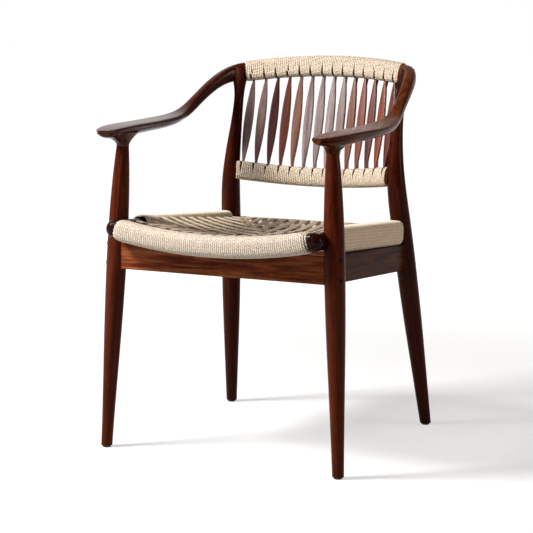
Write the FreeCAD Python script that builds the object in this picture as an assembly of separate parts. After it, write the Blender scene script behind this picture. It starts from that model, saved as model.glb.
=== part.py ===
import FreeCAD, Part
import math
import os

from FreeCAD import Vector

# Armchair: dark lacquered frame, cord-wrapped rails, open cord seat and a slatted back.
# It stands on the floor at z = 0, faces -Y and is the same left and right. Sizes are in millimetres.

# Whole chair, from the front of the seat to the back of the rear feet
foot_line_depth = 537.0
fit_clearance = 0.2
cut_overrun = 40.0

# Front legs, turned and splayed, each on a straight axis from the floor to the arm's neck
front_foot_spread = 517.6
front_foot_setback = 46.5
front_leg_height = 606.0
front_leg_inward = 28.7
front_leg_backward = 28.7
front_leg_diameter = 40.0
front_leg_height_shares = (0.0, 0.32, 0.71, 0.86, 1.0)
front_leg_diameter_shares = (0.565, 0.815, 1.0, 0.89, 0.62)
front_tenon_diameter = 14.0
front_tenon_length = 26.0

# Rear legs, each in one piece with its back post, bent above the seat and swelling into a head
rear_foot_spread = 473.0
rear_seat_spread = 403.2
rear_seat_height = 430.0
rear_seat_forward = 62.5
rear_bend_spread = 389.4
rear_bend_height = 520.0
rear_bend_forward = 74.0
rear_neck_spread = 382.0
rear_neck_height = 700.0
rear_neck_forward = 43.0
rear_top_spread = 394.0
rear_top_height = 752.0
rear_top_forward = 30.0
rear_leg_diameter = 42.0
rear_leg_straight_shares = (0.25, 0.5, 0.75)
rear_leg_stations = 33
rear_leg_station_shares = (0.0, 0.16, 0.32, 0.46, 0.57, 0.66, 0.76, 0.86, 0.92, 0.965, 1.0)
rear_leg_width_shares = (0.55, 0.74, 0.92, 1.0, 1.0, 0.95, 0.76, 0.53, 0.48, 0.6, 0.63)
rear_leg_depth_shares = (0.55, 0.74, 0.92, 1.0, 1.0, 0.95, 0.78, 0.6, 0.56, 0.72, 0.76)
rear_head_share = 0.93

# Glides under the legs
glide_diameter = 17.0
glide_height = 4.0
glide_stem_diameter = 6.0
glide_stem_length = 14.0

# Side seat rails, sloping down to the back, each with a round nose in front of the front leg
side_rail_front_height = 449.0
side_rail_rear_height = 417.5
side_rail_nose_spread = 436.4
side_rail_rear_spread = 398.0
side_rail_nose_setback = 8.0
side_rail_width = 32.0
side_rail_depth = 43.0
nose_diameter = 36.0
nose_tip_share = 0.42
nose_length = 104.0
side_tenon_diameter = 16.0
side_tenon_setback = 4.0
side_wrap_rear_gap = 11.0

# Front seat rail, dipped in the middle, between the two noses
front_rail_height = 449.0
front_rail_setback = 24.3
front_rail_dip = 22.7
front_rail_width = 34.0
front_rail_depth = 34.0
front_rail_tenon_diameter = 14.0
front_rail_tenon_length = 14.0
front_wrap_overlap = 8.0

# Rear seat rail, straight between the rear legs
rear_rail_height = 411.0
rear_rail_width = 30.0
rear_rail_depth = 30.0
rear_rail_tenon_diameter = 14.0
rear_rail_tenon_length = 8.0

# Cord wound on the rails
wrap_thickness = 4.0
wrap_gap = 0.3

# Aprons under the seat rails
apron_height = 54.0
apron_thickness = 20.0
front_apron_bottom = 364.0
side_apron_front_inset = 12.0
side_apron_rear_inset = 4.0
apron_tenon_setback = 8.0
apron_tenon_height_share = 0.6
apron_tenon_thickness_share = 0.45

# Peg plugs over the screws of the front apron
plug_diameter = 9.0
plug_depth = 7.0
plug_spacing = 38.0
plug_height = 394.0
plug_turn = 25.0
plug_dome = 0.6

# Back rails, both bowed backwards: the crest arches up and the lower rail dips
crest_height = 741.0
crest_forward = 40.0
crest_bow = 42.0
crest_arch = 14.0
crest_rail_width = 20.0
crest_rail_depth = 37.0
crest_rail_inset = 9.0
lower_rail_height = 535.0
lower_rail_forward = 97.0
lower_rail_bow = 48.0
lower_rail_dip = 15.0
lower_rail_inset = 10.0
lower_rail_width = 18.0
lower_rail_depth = 33.0
back_tenon_diameter = 11.0
back_tenon_length = 10.0

# Back slats: lens-shaped from the front, thin from the side, with deeper heels in slots of both back rails
slat_count = 14
slat_pitch = 25.7
slat_width = 19.5
slat_thickness = 6.0
slat_end_width = 3.5
slat_heel_depth = 5.0
slat_heel_length = 14.0
slat_forward = 1.5
slat_seat_depth = 8.0

# Arms, carved from the post head to the flat hand rest
arm_head_height = 741.0
arm_rest_height = 645.0
arm_head_inset = 13.0
arm_out = 64.0
arm_width = 62.0
arm_head_depth = 40.0
arm_stations = 33
arm_head_setback = 7.0
arm_reach_shares = (
    0, 0.014, 0.042, 0.083, 0.132, 0.201, 0.27, 0.329, 0.379, 0.438, 0.517, 0.625, 0.753, 0.882, 0.956, 0.985,
)
arm_out_shares = (
    0.0, 0.2, 0.4, 0.54, 0.65, 0.76, 0.84, 0.9, 0.94, 0.975, 1.005, 1.02, 0.98, 0.9, 0.8, 0.74,
)
arm_drop_shares = (
    0.0, 0.005, 0.04, 0.11, 0.22, 0.415, 0.628, 0.797, 0.885, 0.935, 0.968, 0.997, 1.015, 1.045, 1.074, 1.085,
)
arm_width_shares = (
    0.39, 0.39, 0.4, 0.4, 0.39, 0.37, 0.38, 0.45, 0.57, 0.77, 0.93, 1.0, 1.0, 0.93, 0.66, 0.36,
)
arm_depth_shares = (
    1.0, 0.97, 0.86, 0.75, 0.66, 0.58, 0.53, 0.49, 0.46, 0.42, 0.4, 0.38, 0.38, 0.36, 0.31, 0.25,
)
arm_flat_shares = (0.0, 0.0, 0.0, 0.0, 0.0, 0.0, 0.1, 0.45, 0.85, 1.0, 1.0, 1.0, 1.0, 1.0, 1.0, 1.0)
arm_rise_share = 0.35
neck_height = 27.0
neck_width = 54.0
neck_length = 140.0
neck_shift = 11.0
neck_height_shares = (0.0, 0.18, 0.37, 0.6, 0.8, 1.0)
neck_flare_shares = (0.0, 0.035, 0.15, 0.38, 0.65, 1.0)
arm_dowel_diameter = 9.0
arm_dowel_length = 22.0
arm_dowel_setback = 5.0
arm_dowel_heading_share = 0.9

# Cord seat: strips across and strips front to back, which change places along the two diagonals
lengthwise_count = 14
crosswise_count = 10
strip_width = 14.0
strip_thickness = 3.0
strip_lift = 2.8
under_strip_drop = 12.0
seat_sag = 18.0
sag_power = 2.4
front_strip_drop = 4.0
rear_strip_drop = 3.0

# Shape of a section: points on its outline and how square it is
section_points = 16
arm_points = 24
rail_stations = 9
round_power = 2.0
soft_power = 3.0
square_power = 4.0
crisp_power = 6.0

# Places worked out from the sizes
front_gap = front_rail_setback - front_rail_width / 2 - wrap_thickness
crest_overhang = crest_bow - crest_forward + crest_rail_width / 2 + wrap_thickness
front_line = -(foot_line_depth + front_gap + crest_overhang) / 2
rear_line = front_line + foot_line_depth
LEFT_RIGHT = (("left", -1), ("right", 1))
UP = Vector(0, 0, 1)
ALONG_X = Vector(1, 0, 0)
ALONG_Y = Vector(0, 1, 0)


def mix(a, b, share):
    return a + (b - a) * share


def axis_point(start, end, height):
    """The point at a height on the straight line between two points."""
    return mix(start, end, (height - start.z) / (end.z - start.z))


def smooth_share(stations, values, share):
    """A smooth curve through a table of values, read at a share between its first and last station."""
    last = len(stations) - 1
    i = max(k for k in range(last) if stations[k] <= share or k == 0)

    def slope(k):
        before, after = max(k - 1, 0), min(k + 1, last)
        return (values[after] - values[before]) / (stations[after] - stations[before])

    step = stations[i + 1] - stations[i]
    t = (share - stations[i]) / step
    start, end = values[i], values[i + 1]
    bulge = (2 * t ** 3 - 3 * t ** 2 + 1) * start + (3 * t ** 2 - 2 * t ** 3) * end
    return bulge + step * ((t ** 3 - 2 * t ** 2 + t) * slope(i) + (t ** 3 - t ** 2) * slope(i + 1))


def section(centre, side, up, width, depth, power):
    """A closed smooth outline round a centre: a superellipse, from round (2) to nearly square."""
    points = []
    for i in range(section_points):
        angle = 2 * math.pi * i / section_points
        c, s = math.cos(angle), math.sin(angle)
        reach = (abs(c) ** power + abs(s) ** power) ** (-1 / power)
        points.append(centre + side * (c * reach * width / 2) + up * (s * reach * depth / 2))
    return closed_outline(points)


def closed_outline(points):
    curve = Part.BSplineCurve()
    curve.interpolate(Points=points, PeriodicFlag=True)
    return Part.Wire([curve.toShape()])


def carved_section(centre, side, up, width, depth, flat):
    """The arm's outline: alike above and below at the head, flat on top with a round belly at the rest."""
    rise = mix(1 / 2, arm_rise_share, flat)
    points = []
    for i in range(arm_points):
        angle = 2 * math.pi * i / arm_points
        c, s = math.cos(angle), math.sin(angle)
        power = mix(soft_power, crisp_power if s > 0 else round_power, flat)
        tall = depth * (rise if s > 0 else 1 - rise)
        across = math.copysign(abs(c) ** (2 / power), c) * width / 2
        points.append(centre + side * across + up * (math.copysign(abs(s) ** (2 / power), s) * tall))
    return closed_outline(points)


def loft(sections):
    return Part.makeLoft(sections, True, False)


def rod(start, direction, diameter, length):
    return Part.makeCylinder(diameter / 2, length, start, direction)


def mirrored(shape, sign):
    """The right-hand shape itself, or its mirror image on the left."""
    return shape if sign > 0 else shape.mirror(Vector(), ALONG_X)


def save(name, shape):
    solids = shape.Solids
    result = solids[0] if len(solids) == 1 else Part.makeCompound(solids)
    result.exportStep("parts/" + name + ".step")


def front_leg_axis():
    floor = Vector(front_foot_spread / 2, front_line + front_foot_setback, 0)
    return floor, floor + Vector(-front_leg_inward, front_leg_backward, front_leg_height)


def turned_front_leg():
    """The turned body, cut level above the glide, with its round tenon on top."""
    floor, top = front_leg_axis()
    length = (top - floor).Length
    curve = Part.BSplineCurve()
    outline = []
    for high, wide in zip(front_leg_height_shares, front_leg_diameter_shares):
        outline.append(Vector(front_leg_diameter / 2 * wide, 0, length * high))
    curve.interpolate(outline)
    corners = [outline[-1], Vector(0, 0, length), Vector(), outline[0]]
    edges = [curve.toShape()] + [Part.makeLine(a, b) for a, b in zip(corners, corners[1:])]
    body = Part.Face(Part.Wire(edges)).revolve(Vector(), UP, 360)
    tenon = rod(Vector(0, 0, length - front_tenon_length), UP, front_tenon_diameter, 2 * front_tenon_length)
    leg = Part.makeSolid(body.Shells[0]).fuse(tenon)
    leg.Placement = FreeCAD.Placement(floor, FreeCAD.Rotation(UP, top - floor))
    return leg.cut(below(glide_height))


def below(height):
    """A block that holds everything under a height."""
    reach = foot_line_depth + 2 * cut_overrun
    return Part.makeBox(2 * reach, 2 * reach, cut_overrun + height, Vector(-reach, -reach, -cut_overrun))


def rear_leg_path():
    back = rear_line - rear_leg_diameter * rear_leg_depth_shares[0] / 2
    foot = Vector(rear_foot_spread / 2, back, 0)
    seat = Vector(rear_seat_spread / 2, back - rear_seat_forward, rear_seat_height)
    bend = Vector(rear_bend_spread / 2, back - rear_bend_forward, rear_bend_height)
    neck = Vector(rear_neck_spread / 2, back - rear_neck_forward, rear_neck_height)
    top = Vector(rear_top_spread / 2, back - rear_top_forward, rear_top_height)
    straight = [mix(foot, seat, share) for share in rear_leg_straight_shares]
    curve = Part.BSplineCurve()
    curve.interpolate([foot] + straight + [seat, bend, neck, top])
    return curve


def rear_leg_centre(height):
    """The centre of the rear leg at a height, found by halving along its path."""
    curve = rear_leg_path()
    low, high = curve.FirstParameter, curve.LastParameter
    for _ in range(section_points):
        middle = (low + high) / 2
        if curve.value(middle).z < height:
            low = middle
        else:
            high = middle
    return curve.value((low + high) / 2)


def bent_rear_leg():
    """Level sections along the bent path, round below and squarer at the head."""
    curve = rear_leg_path()
    sections = []
    for i in range(rear_leg_stations):
        share = i / (rear_leg_stations - 1)
        wide = smooth_share(rear_leg_station_shares, rear_leg_width_shares, share)
        deep = smooth_share(rear_leg_station_shares, rear_leg_depth_shares, share)
        centre = curve.value(mix(curve.FirstParameter, curve.LastParameter, share))
        squareness = max(0, (share - rear_head_share) / (1 - rear_head_share))
        power = mix(round_power, square_power, min(1, 2 * squareness))
        size = rear_leg_diameter
        sections.append(section(centre, ALONG_X, ALONG_Y, size * wide, size * deep, power))
    return loft(sections).cut(below(glide_height))


def side_rail_line():
    """The side rail's axis, from its nose to the centre of the rear leg."""
    nose = Vector(side_rail_nose_spread / 2, front_line + side_rail_nose_setback, side_rail_front_height)
    leg = rear_leg_centre(side_rail_rear_height)
    rear = Vector(side_rail_rear_spread / 2, leg.y, side_rail_rear_height)
    return nose, rear


def rail_frame(start, end):
    """The direction of a straight rail, and the level and upright directions across it."""
    along = (end - start).normalize()
    side = along.cross(UP).normalize()
    return along, side, side.cross(along)


def side_rail_body(growth, extra=0, short=0):
    """The straight part of the side rail behind its nose, grown all round and longer or short at the back."""
    nose, rear = side_rail_line()
    along, side, up = rail_frame(nose, rear)
    ends = (nose + along * (nose_length - extra), rear + along * (extra - short))
    width, depth = side_rail_width + 2 * growth, side_rail_depth + 2 * growth
    return loft([section(p, side, up, width, depth, square_power) for p in ends])


def side_rail_nose(growth):
    """The turned front end: a cylinder with a rounded tip."""
    nose, rear = side_rail_line()
    along, side, up = rail_frame(nose, rear)
    radius = nose_diameter / 2 + growth
    tip = nose_diameter * nose_tip_share
    curve = Part.Arc(
        Vector(0, 0, -growth),
        Vector(radius * math.sin(math.pi / 4), 0, tip * (1 - math.cos(math.pi / 4)) - growth),
        Vector(radius, 0, tip),
    )
    corners = [Vector(radius, 0, tip), Vector(radius, 0, nose_length), Vector(0, 0, nose_length)]
    corners.append(Vector(0, 0, -growth))
    edges = [curve.toShape()] + [Part.makeLine(a, b) for a, b in zip(corners, corners[1:])]
    body = Part.makeSolid(Part.Face(Part.Wire(edges)).revolve(Vector(), UP, 360).Shells[0])
    body.Placement = FreeCAD.Placement(nose, FreeCAD.Rotation(UP, along))
    return body


def bowed_rail(end, bow, rise, width, depth, power, lean, trim=0):
    """A rail across the chair, ending at end on the right, whose middle lies back by bow and up by rise."""
    up = Vector(0, lean, 1).normalize()
    reach = 1 - trim / end.x
    sections = []
    for i in range(rail_stations):
        across = mix(-reach, reach, i / (rail_stations - 1))
        swell = 1 - across ** 2
        centre = Vector(end.x * across, end.y + bow * swell, end.z + rise * swell)
        heading = Vector(end.x, -2 * bow * across, -2 * rise * across).normalize()
        side = up.cross(heading).normalize()
        sections.append(section(centre, side, heading.cross(side), width, depth, power))
    return loft(sections)


def back_lean():
    """How far the back leans for each millimetre of its height."""
    rise = crest_height - lower_rail_height
    return (lower_rail_forward - crest_forward) / rise


def crest(growth, trim=0):
    centre = Vector(rear_leg_centre(crest_height).x, rear_line - crest_forward, crest_height)
    width, depth = crest_rail_width + 2 * growth, crest_rail_depth + 2 * growth
    return bowed_rail(centre, crest_bow, crest_arch, width, depth, soft_power, back_lean(), trim)


def lower_rail(growth, trim=0):
    centre = Vector(rear_leg_centre(lower_rail_height).x, rear_line - lower_rail_forward, lower_rail_height)
    width, depth = lower_rail_width + 2 * growth, lower_rail_depth + 2 * growth
    return bowed_rail(centre, lower_rail_bow, -lower_rail_dip, width, depth, soft_power, back_lean(), trim)


def front_rail(growth, trim=0):
    end = Vector(side_rail_nose_spread / 2, front_line + front_rail_setback, front_rail_height)
    width, depth = front_rail_width + 2 * growth, front_rail_depth + 2 * growth
    return bowed_rail(end, 0, -front_rail_dip, width, depth, soft_power, 0, trim)


def rear_rail(growth, trim=0):
    end = rear_leg_centre(rear_rail_height)
    width, depth = rear_rail_width + 2 * growth, rear_rail_depth + 2 * growth
    return bowed_rail(end, 0, 0, width, depth, soft_power, 0, trim)


def slat(index, growth):
    """One board square to the bow: a lens from the front, thin with a heel at each end from the side."""
    across = (index - (slat_count - 1) / 2) * slat_pitch
    foot = lower_rail_point(across) + UP * (lower_rail_depth / 2 - slat_seat_depth)
    head = crest_point(across) - UP * (crest_rail_depth / 2 - slat_seat_depth)
    along = head - foot
    length = along.Length
    along.normalize()
    bow = (crest_bow + lower_rail_bow) / 2
    tangent = Vector(1, -2 * bow * across / rear_leg_centre(crest_height).x ** 2, 0)
    side = (tangent - along * along.dot(tangent)).normalize()
    forward = side.cross(along)
    foot += forward * slat_forward
    end, wide = slat_end_width / 2 + growth, slat_width / 2 + growth
    thin = slat_thickness / 2 + growth
    deep = thin + slat_heel_depth
    shoulder = slat_seat_depth + wrap_thickness
    heel = shoulder + slat_heel_length
    places = ((-end, 0), (-end, shoulder), (-wide, length / 2), (-end, length - shoulder), (-end, length))
    left = [foot + side * x + along * z - forward * deep for x, z in places]
    right = [p - side * (2 * x) for p, (x, z) in zip(left, places)]
    edges = [
        Part.makeLine(left[0], left[1]),
        Part.Arc(left[1], left[2], left[3]).toShape(),
        Part.makeLine(left[3], left[4]),
        Part.makeLine(left[4], right[4]),
        Part.makeLine(right[4], right[3]),
        Part.Arc(right[3], right[2], right[1]).toShape(),
        Part.makeLine(right[1], right[0]),
        Part.makeLine(right[0], left[0]),
    ]
    lens = Part.Face(Part.Wire(edges)).extrude(forward * (deep + thin))
    flank = [(thin, 0), (thin, length), (-deep, length), (-deep, length - shoulder), (-thin, length - heel)]
    flank += [(-thin, heel), (-deep, shoulder), (-deep, 0), (thin, 0)]
    outline = Part.makePolygon([foot - side * slat_width + forward * y + along * z for y, z in flank])
    return lens.common(Part.Face(outline).extrude(side * (2 * slat_width)))


def crest_point(across):
    half = rear_leg_centre(crest_height).x
    swell = 1 - (across / half) ** 2
    return Vector(across, rear_line - crest_forward + crest_bow * swell, crest_height + crest_arch * swell)


def lower_rail_point(across):
    half = rear_leg_centre(lower_rail_height).x
    swell = 1 - (across / half) ** 2
    y = rear_line - lower_rail_forward + lower_rail_bow * swell
    return Vector(across, y, lower_rail_height - lower_rail_dip * swell)


def crest_end_point():
    return crest_point(rear_leg_centre(crest_height).x)


def carved_arm():
    """Sections along the arm, from the upright head down to the flat hand rest, and its neck."""
    head = rear_leg_centre(arm_head_height)
    back = crest_end_point().y + arm_head_setback
    start = Vector(head.x - arm_head_inset, back, arm_head_height)
    reach = start.y - front_line
    drop = arm_head_height - arm_rest_height
    path = []
    for along, out, down in zip(arm_reach_shares, arm_out_shares, arm_drop_shares):
        path.append(Vector(start.x + arm_out * out, start.y - reach * along, start.z - drop * down))
    curve = Part.BSplineCurve()
    curve.interpolate(path)
    knots = curve.getKnots()
    sections = []
    for i in range(arm_stations):
        place = mix(knots[0], knots[-1], i / (arm_stations - 1))
        width = arm_width * smooth_share(knots, arm_width_shares, place)
        depth = arm_head_depth * smooth_share(knots, arm_depth_shares, place)
        flat = smooth_share(knots, arm_flat_shares, place)
        heading = curve.tangent(place)[0]
        side = UP.cross(heading).normalize()
        sections.append(carved_section(curve.value(place), side, heading.cross(side), width, depth, flat))
    return loft(sections).fuse(arm_neck())


def arm_neck():
    """The neck carved with the arm: round on the front leg and flared into the belly of the hand rest."""
    floor, top = front_leg_axis()
    along = (top - floor).normalize()
    diameter = front_leg_diameter * front_leg_diameter_shares[-1]
    sections = []
    for high, flare in zip(neck_height_shares, neck_flare_shares):
        centre = top + along * (neck_height * high) + ALONG_X * (neck_shift * flare)
        side = ALONG_Y.cross(mix(along, UP, flare)).normalize()
        back = mix(along, UP, flare).cross(side).normalize()
        width, length = mix(diameter, neck_width, flare), mix(diameter, neck_length, flare)
        sections.append(section(centre, side, back, width, length, round_power))
    return loft(sections)


def apron(start, end, height_start, height_end):
    """A board between two points, its bottom edge running between two heights."""
    along = Vector(end.x - start.x, end.y - start.y, 0).normalize()
    normal = along.cross(UP) * (apron_thickness / 2)
    low = [Vector(start.x, start.y, height_start), Vector(end.x, end.y, height_end)]
    corners = low + [p + UP * apron_height for p in reversed(low)]
    face = Part.makePolygon([p - normal for p in corners + corners[:1]])
    return Part.Face(face).extrude(normal * 2)


def apron_tenon(start, end, height_start, height_end, growth):
    """The tongue of an apron, thinner and lower than the board, reaching from leg axis to leg axis."""
    along = Vector(end.x - start.x, end.y - start.y, 0).normalize()
    normal = along.cross(UP) * (apron_thickness * apron_tenon_thickness_share / 2 + growth)
    rise = UP * (apron_height * (1 - apron_tenon_height_share) / 2 - growth)
    tall = UP * (apron_height * apron_tenon_height_share + 2 * growth)
    low = [Vector(start.x, start.y, height_start) + rise, Vector(end.x, end.y, height_end) + rise]
    corners = low + [p + tall for p in reversed(low)]
    face = Part.makePolygon([p - normal for p in corners + corners[:1]])
    return Part.Face(face).extrude(normal * 2)


def seat_height(x, y):
    """The middle layer of the cord seat: it slopes back, follows the dipped front rail and sags."""
    front, rear = seat_ends()
    back = (y - front) / (rear - front)
    across = max(-1, min(1, x / seat_half_width(y)))
    lengthwise = 2 * back - 1
    front_edge = front_rail_height + front_rail_depth / 2 + wrap_thickness - front_strip_drop
    rear_edge = rear_rail_height + rear_rail_depth / 2 + wrap_thickness - rear_strip_drop
    dip = front_rail_dip * (1 - back) * (1 - across ** 2)
    hollow = max(0, 1 - abs(across) ** sag_power) * max(0, 1 - abs(lengthwise) ** sag_power)
    return mix(front_edge, rear_edge, back) - dip - seat_sag * hollow


def seat_ends():
    """The front and rear edges of the open seat."""
    front = front_line + front_rail_setback + front_rail_width / 2 + wrap_thickness
    rear = rear_leg_centre(rear_rail_height).y - rear_rail_width / 2 - wrap_thickness
    return front, rear


def seat_half_width(y):
    """Half the width of the open seat, between the wrapped side rails."""
    nose, rear = side_rail_line()
    axis = mix(nose, rear, (y - nose.y) / (rear.y - nose.y))
    return axis.x - side_rail_width / 2 - wrap_thickness


def strip_places():
    """The middle of each lengthwise strip across the seat, and of each crosswise strip from front to back."""
    front, rear = seat_ends()
    half = seat_half_width(rear)
    wrap_start = front_line + side_rail_nose_setback + nose_length
    xs = [mix(-half, half, (i + 1 / 2) / lengthwise_count) for i in range(lengthwise_count)]
    return xs, [mix(wrap_start, rear, (k + 1 / 2) / crosswise_count) for k in range(crosswise_count)]


def strip_layer(i, k, crosswise):
    """How far a strip's middle lies from the seat's middle layer where strips i and k cross."""
    from_side = min(i, lengthwise_count - 1 - i) / lengthwise_count
    from_end = min(k, crosswise_count - 1 - k) / crosswise_count
    return strip_lift if (from_side <= from_end) == crosswise else -under_strip_drop


def seat_strip(index, crosswise):
    """One strip from rail to rail, on top in its own two fields of the seat and underneath in the others."""
    front, rear = seat_ends()
    xs, ys = strip_places()
    if crosswise:
        reach = side_rail_nose_spread / 2
        spots = [(x, ys[index]) for x in xs]
        layers = [strip_layer(i, index, True) for i in range(lengthwise_count)]
        ends = ((-reach, ys[index]), (reach, ys[index]))
        width = ALONG_Y * strip_width
    else:
        spots = [(xs[index], y) for y in ys]
        layers = [strip_layer(index, k, False) for k in range(crosswise_count)]
        ends = ((xs[index], front - front_rail_width / 2), (xs[index], rear + rear_rail_width / 2))
        width = ALONG_X * strip_width
    places = [ends[0]] + spots + [ends[1]]
    layers = [strip_lift] + layers + [strip_lift]
    middle = [Vector(x, y, seat_height(x, y) + layer) - width / 2 for (x, y), layer in zip(places, layers)]
    top, bottom = Part.BSplineCurve(), Part.BSplineCurve()
    top.interpolate([p + UP * (strip_thickness / 2) for p in middle])
    bottom.interpolate([p - UP * (strip_thickness / 2) for p in middle])
    edges = [top.toShape(), bottom.toShape()]
    edges.append(Part.makeLine(top.StartPoint, bottom.StartPoint))
    edges.append(Part.makeLine(top.EndPoint, bottom.EndPoint))
    return Part.Face(Part.Wire(Part.__sortEdges__(edges))).extrude(width)


def glide(foot):
    """A flat disc on the floor with a stem that goes up into the leg."""
    disc = rod(Vector(foot.x, foot.y, 0), UP, glide_diameter, glide_height)
    return disc.fuse(glide_stem(foot, 0))


def glide_stem(foot, growth):
    start = Vector(foot.x, foot.y, 0)
    return rod(start, UP, glide_stem_diameter + 2 * growth, glide_height + glide_stem_length + growth)


def front_leg_bore():
    """The bore in the arm's neck for the tenon on top of the front leg."""
    floor, top = front_leg_axis()
    diameter = front_tenon_diameter + 2 * fit_clearance
    return rod(top, top - floor, diameter, front_tenon_length + fit_clearance)


def both(shape):
    """A right-hand shape and its mirror image."""
    return [shape, shape.mirror(Vector(), ALONG_X)]


def plug(height, growth):
    """A peg plug on the outer side of the right front leg."""
    axis = axis_point(*front_leg_axis(), height)
    turn = math.radians(plug_turn)
    heading = Vector(math.cos(turn), -math.sin(turn), 0)
    start = axis + heading * (front_leg_diameter / 2 - plug_depth - growth)
    return rod(start, heading, plug_diameter + 2 * growth, plug_depth + plug_dome + 2 * growth)


def side_apron_ends():
    """Where the right side apron meets the two leg axes, and the heights of its bottom edge there."""
    nose, rear_end = side_rail_line()
    fall = (nose.z - rear_end.z) / (rear_end.y - nose.y)
    front_axis = axis_point(*front_leg_axis(), front_apron_bottom)
    rear_axis = rear_leg_centre(side_rail_rear_height - apron_height)
    front = front_axis - ALONG_X * side_apron_front_inset
    rear = rear_axis - ALONG_X * side_apron_rear_inset
    under = side_rail_depth / 2 + wrap_thickness + wrap_gap + apron_height
    return front, rear, nose.z - fall * (front.y - nose.y) - under, nose.z - fall * (rear.y - nose.y) - under


def side_apron_tongue(growth):
    """The side apron's tongue, ending short of both leg axes."""
    front, rear, low_front, low_rear = side_apron_ends()
    setback = ALONG_Y * (apron_tenon_setback - growth)
    return apron_tenon(front + setback, rear - setback, low_front, low_rear, growth)


def cross_apron(axis, bottom):
    """A straight apron from leg to leg through a leg axis point on the right."""
    left = Vector(-axis.x, axis.y, 0)
    return apron(left, axis, bottom, bottom)


def cross_tongue(axis, bottom, growth):
    end = axis - ALONG_X * (apron_tenon_setback - growth)
    left = Vector(-end.x, end.y, 0)
    return apron_tenon(left, end, bottom, bottom, growth)


def cross_tenon(height, y, tip, diameter, growth):
    """A round tenon straight across the chair, from tip to tip."""
    start = Vector(-tip - growth, y, height)
    return rod(start, ALONG_X, diameter + 2 * growth, 2 * (tip + growth))


def side_tenon(growth):
    """The round tenon at the back of the side rail, ending short of the rear leg's axis."""
    nose, rear = side_rail_line()
    along, side, up = rail_frame(nose, rear)
    end = rear - along * (side_tenon_setback - growth)
    length = rear_leg_diameter + growth
    return rod(end - along * length, along, side_tenon_diameter + 2 * growth, length)


def arm_dowel(growth):
    """The hidden dowel between the post head and the arm, along the arm's first stretch."""
    head = rear_leg_centre(arm_head_height)
    heading = Vector(arm_dowel_heading_share, -1, 0).normalize()
    start = Vector(head.x, head.y, arm_head_height) + heading * (arm_dowel_setback - growth)
    return rod(start, heading, arm_dowel_diameter + 2 * growth, arm_dowel_length + 2 * growth)


def tenon_tip(height, length):
    """How far across the chair a tenon reaches when it enters the rear leg by its length."""
    return rear_leg_centre(height).x - rear_leg_diameter / 2 + length


os.makedirs("parts", exist_ok=True)

# Legs before their joints are cut
plain_front_leg = turned_front_leg()
plain_rear_leg = bent_rear_leg()
front_axis = axis_point(*front_leg_axis(), front_apron_bottom)
rear_apron_bottom = rear_rail_height - rear_rail_depth / 2 - wrap_thickness - wrap_gap - apron_height
rear_axis = rear_leg_centre(rear_apron_bottom + apron_height / 2) + ALONG_Y * fit_clearance
crest_end = crest_end_point()
lower_end = lower_rail_point(rear_leg_centre(lower_rail_height).x - lower_rail_inset)
crest_tip = tenon_tip(crest_height, back_tenon_length)
lower_tip = tenon_tip(lower_rail_height, back_tenon_length)
rear_rail_centre = rear_leg_centre(rear_rail_height)
rear_rail_tip = tenon_tip(rear_rail_height, rear_rail_tenon_length)
front_rail_end = Vector(side_rail_nose_spread / 2, front_line + front_rail_setback, front_rail_height)
front_rail_tip = front_rail_end.x - nose_diameter / 2 + front_rail_tenon_length
plug_heights = (plug_height - plug_spacing / 2, plug_height + plug_spacing / 2)
front_foot = axis_point(*front_leg_axis(), glide_height)
rear_foot = rear_leg_centre(glide_height)


def front_leg():
    """The front leg with its housing for the side rail, mortises, plug bores and glide bore."""
    cuts = [side_rail_nose(fit_clearance), side_apron_tongue(fit_clearance)]
    cuts.append(cross_tongue(front_axis, front_apron_bottom, fit_clearance))
    cuts.append(glide_stem(front_foot, fit_clearance))
    cuts += [plug(height, fit_clearance) for height in plug_heights]
    return plain_front_leg.cut(cuts)


def rear_leg():
    """The rear leg with its bores for rails, arm dowel and glide and its mortises for aprons."""
    cuts = [side_tenon(fit_clearance), side_apron_tongue(fit_clearance), arm_dowel(fit_clearance)]
    cuts.append(cross_tongue(rear_axis, rear_apron_bottom, fit_clearance))
    cuts.append(cross_tenon(crest_height, crest_end.y, crest_tip, back_tenon_diameter, fit_clearance))
    cuts.append(cross_tenon(lower_rail_height, lower_end.y, lower_tip, back_tenon_diameter, fit_clearance))
    width = rear_rail_tenon_diameter
    cuts.append(cross_tenon(rear_rail_height, rear_rail_centre.y, rear_rail_tip, width, fit_clearance))
    cuts.append(glide_stem(rear_foot, fit_clearance))
    return plain_rear_leg.cut(cuts)


def side_rail():
    """Nose and body in one, with a bore for the front rail's tenon and a tenon for the rear leg."""
    width = front_rail_tenon_diameter
    bore = cross_tenon(front_rail_height, front_rail_end.y, front_rail_tip, width, fit_clearance)
    return side_rail_nose(0).fuse(side_rail_body(0)).cut([plain_rear_leg, bore]).fuse(rear_tenon_piece())


def rear_tenon_piece():
    """The side rail's rear tenon, only where it lies inside the leg."""
    return side_tenon(0).common(plain_rear_leg)


def end_tenons(height, y, tip, diameter, holders):
    """The two ends of a cross tenon that lie inside the pieces that hold it."""
    return cross_tenon(height, y, tip, diameter, 0).common(Part.makeCompound(holders))


rear_legs = both(plain_rear_leg)
noses = both(side_rail_nose(0))
slat_slots = [slat(i, fit_clearance) for i in range(slat_count)]

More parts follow.
